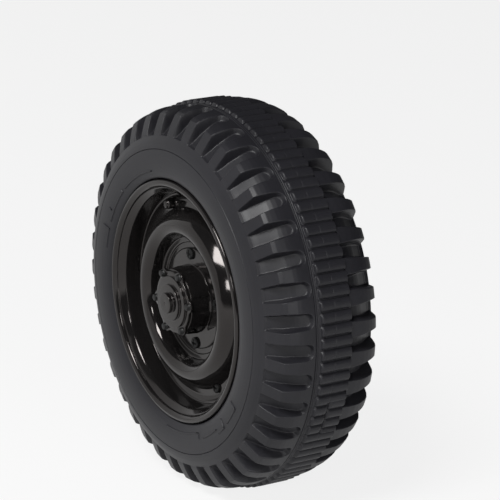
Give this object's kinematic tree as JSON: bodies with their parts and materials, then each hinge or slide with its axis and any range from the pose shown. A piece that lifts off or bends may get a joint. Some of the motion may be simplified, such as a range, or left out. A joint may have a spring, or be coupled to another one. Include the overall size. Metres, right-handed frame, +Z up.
{
  "type": "toy ride-on car front wheel with stub axle and steering knuckle",
  "caption": "Front wheel of a child's ride-on toy car: hollow lugged plastic tyre on a glossy dished rim, turning on a stub axle held by a moulded steering knuckle.",
  "frame": {"origin": "on the kingpin axis, halfway up the kingpin bore and level with the axle", "axes": "+X forward, +Y towards the car's middle, +Z up along the kingpin; the wheel turns about Y on the -Y side"},
  "size_m": [0.27, 0.1622, 0.27],
  "materials": {
    "tyre_plastic": "satin moulded",
    "rim_gloss": "polished moulded",
    "black_screw": "black oxide",
    "nylon": "natural",
    "zinc_steel": "zinc plated",
    "knuckle_plastic": "fine texture"
  },
  "bodies": {
    "knuckle_body": {"axle_washers": "zinc_steel", "axle_nut": "zinc_steel", "stub_axle": "zinc_steel", "knuckle": "knuckle_plastic", "kingpin_bushes": "nylon"},
    "wheel": {"tyre": "tyre_plastic", "rim_outer": "rim_gloss", "rim_inner": "rim_gloss", "hub_barrel": "rim_gloss", "hub_cap": "rim_gloss", "valve_stub": "rim_gloss", "plate_screws": "black_screw", "hub_bushes": "nylon"}
  },
  "joints": [
    {"name": "wheel_spin", "type": "hinge", "parent": "knuckle_body", "child": "wheel", "pos_m": [0, -0.09, 0], "axis": [0, 1, 0], "continuous": true}
  ]
}
